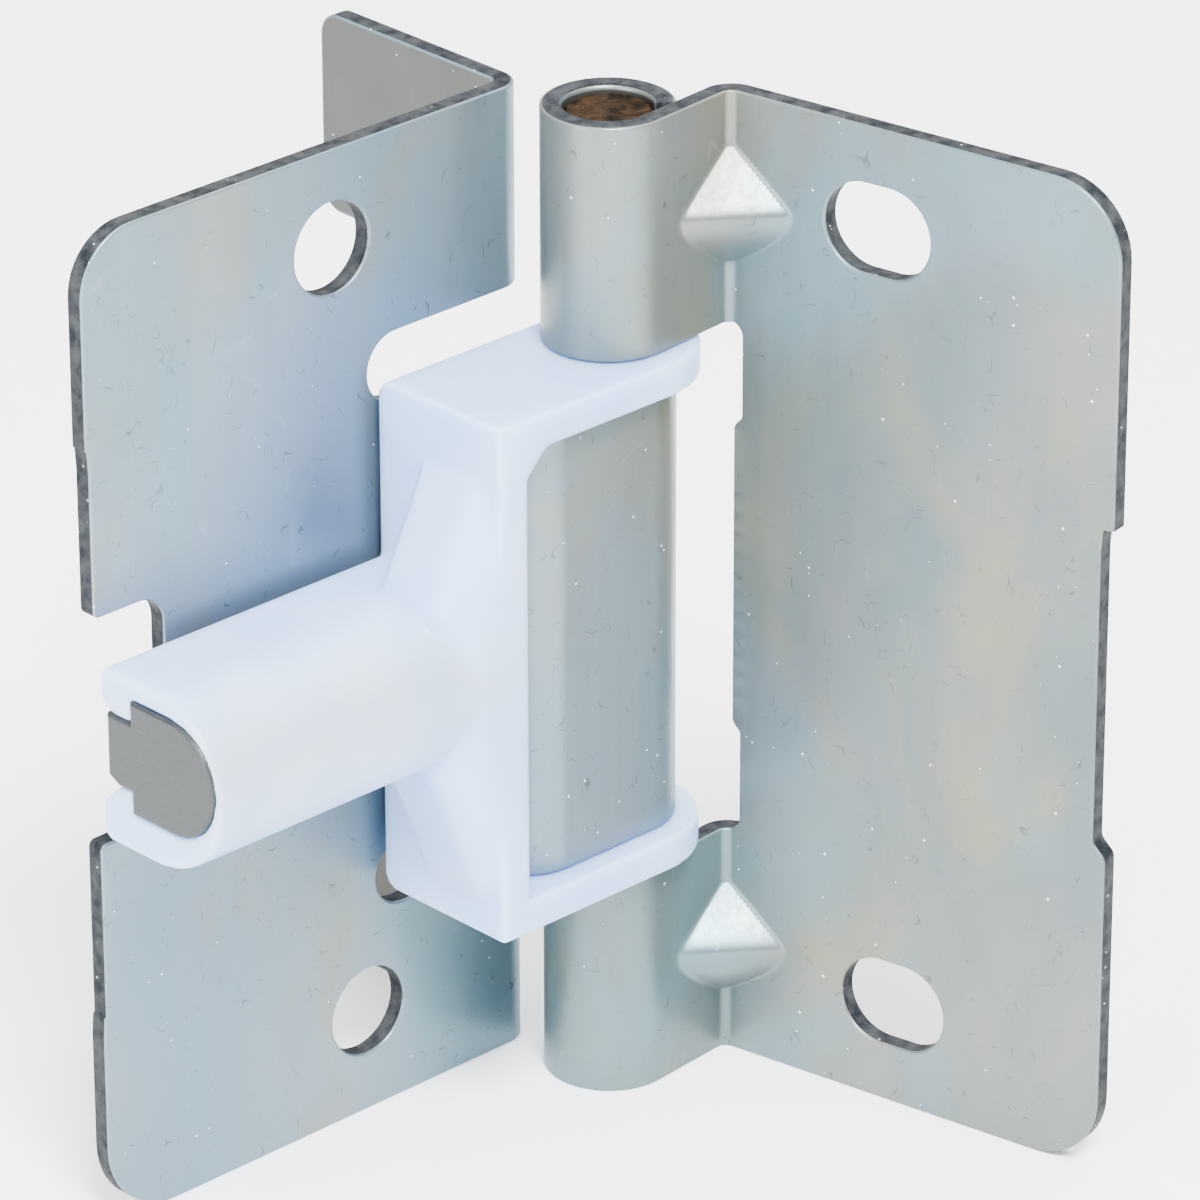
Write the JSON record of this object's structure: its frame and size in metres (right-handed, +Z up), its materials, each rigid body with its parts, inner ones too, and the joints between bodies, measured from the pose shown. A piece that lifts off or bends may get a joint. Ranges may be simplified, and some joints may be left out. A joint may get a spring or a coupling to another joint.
{
  "type": "folding door hinge",
  "caption": "Folding door hinge: a corner leaf with ears, a slotted leaf and a moulded guide arm, all turning on one pin.",
  "frame": {"origin": "on the mounting face of the corner leaf, half way up, at the mean distance of its two screw holes from the pin", "axes": "+Z up along the pin, +Y out of the mounting face into the door panel, +X along the plate towards the pin"},
  "size_m": [0.0581, 0.063, 0.0762],
  "materials": {
    "plated_steel": "pale zinc plating with fine scratches",
    "pin_steel": "brown tarnished plain steel",
    "white_plastic": "translucent bluish white, satin",
    "core_steel": "cut and plated bar"
  },
  "bodies": {
    "corner_leaf": {"corner_leaf": "plated_steel"},
    "arm": {"arm_sleeve": "white_plastic", "arm_core": "core_steel"},
    "knuckle_leaf": {"knuckle_leaf": "plated_steel", "hinge_pin": "pin_steel"}
  },
  "joints": [
    {"name": "arm_swing", "type": "hinge", "parent": "corner_leaf", "child": "arm", "pos_m": [0.0186, -0.00847, 0], "axis": [0, 0, 1], "range_deg": [-1, 90]},
    {"name": "leaf_swing", "type": "hinge", "parent": "arm", "child": "knuckle_leaf", "pos_m": [0.0186, -0.00847, 0], "axis": [0, 0, 1], "range_deg": [-100, 14]}
  ]
}
